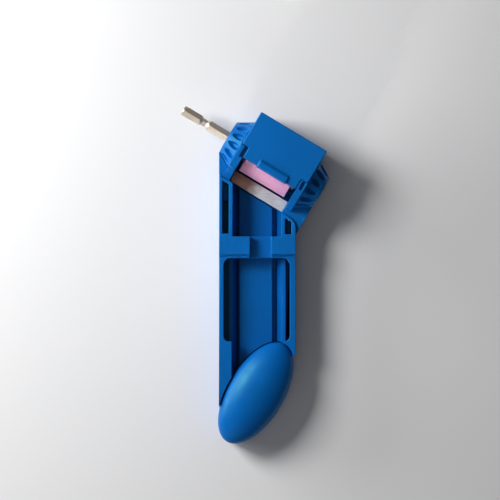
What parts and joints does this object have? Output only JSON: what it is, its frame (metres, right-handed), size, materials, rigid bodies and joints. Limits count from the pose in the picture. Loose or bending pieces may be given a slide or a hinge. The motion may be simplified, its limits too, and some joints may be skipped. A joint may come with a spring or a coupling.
{
  "type": "drill bit sharpener",
  "caption": "Hand-held sharpener for twist drill bits, turned by an electric drill: a hexagonal shank spins a grinding wheel in a slanted head on a channelled handle with a palm dome.",
  "frame": {"origin": "middle of the outer box, on the surface that the tool's back lies on", "axes": "+Z out of the tool's face, +Y along the handle from the palm dome to the head, +X to the side away from the shank"},
  "size_m": [0.1, 0.2272, 0.0416],
  "materials": {
    "blue_plastic": "satin moulded nylon",
    "brushed_steel": "brushed",
    "bearing_steel": "ground",
    "black_plastic": "matte",
    "screw_steel": "dark zinc",
    "spindle_steel": "turned and ground",
    "corundum": "matte abrasive grain",
    "clamp_steel": "zinc plated",
    "cage_brass": "stamped"
  },
  "bodies": {
    "tool": {"handle_frame": "blue_plastic", "handle_tray": "blue_plastic", "trough_bed": "blue_plastic", "palm_dome": "blue_plastic", "head_housing": "blue_plastic", "left_cone": "blue_plastic", "right_cone": "blue_plastic", "guide_plate": "brushed_steel", "left_bearing_outer_ring": "bearing_steel", "right_bearing_outer_ring": "bearing_steel", "end_cap": "black_plastic", "head_screw_left": "screw_steel", "head_screw_right": "screw_steel", "crossbar_screw_left": "screw_steel", "crossbar_screw_right": "screw_steel", "lower_screw_left": "screw_steel", "lower_screw_right": "screw_steel", "dome_screw_upper": "screw_steel", "dome_screw_lower": "screw_steel"},
    "spindle": {"spindle": "spindle_steel", "grinding_wheel": "corundum", "inner_flange": "clamp_steel", "outer_flange": "clamp_steel", "lock_washer": "clamp_steel", "wheel_nut": "clamp_steel", "left_bearing_inner_ring": "bearing_steel", "right_bearing_inner_ring": "bearing_steel", "retaining_ring": "screw_steel"},
    "left_cage": {"left_bearing_cage": "cage_brass"},
    "right_cage": {"right_bearing_cage": "cage_brass"},
    "hood": {"wheel_hood": "blue_plastic"}
  },
  "joints": [
    {"name": "spindle_spin", "type": "hinge", "parent": "tool", "child": "spindle", "pos_m": [0.013, 0.074, 0.02], "axis": [0.8572, -0.515, 0], "continuous": true},
    {"name": "left_cage_spin", "type": "hinge", "parent": "tool", "child": "left_cage", "pos_m": [-0.01374, 0.09007, 0.02], "axis": [0.8572, -0.515, 0], "continuous": true},
    {"name": "right_cage_spin", "type": "hinge", "parent": "tool", "child": "right_cage", "pos_m": [0.03974, 0.05793, 0.02], "axis": [0.8572, -0.515, 0], "continuous": true},
    {"name": "hood_slide", "type": "slide", "parent": "tool", "child": "hood", "axis": [0.515, 0.8572, 0], "range_m": [0, 0.034]}
  ],
  "couplings": [
    {"joint": "left_cage_spin", "follows": "spindle_spin", "ratio": 0.406},
    {"joint": "right_cage_spin", "follows": "spindle_spin", "ratio": 0.406}
  ]
}
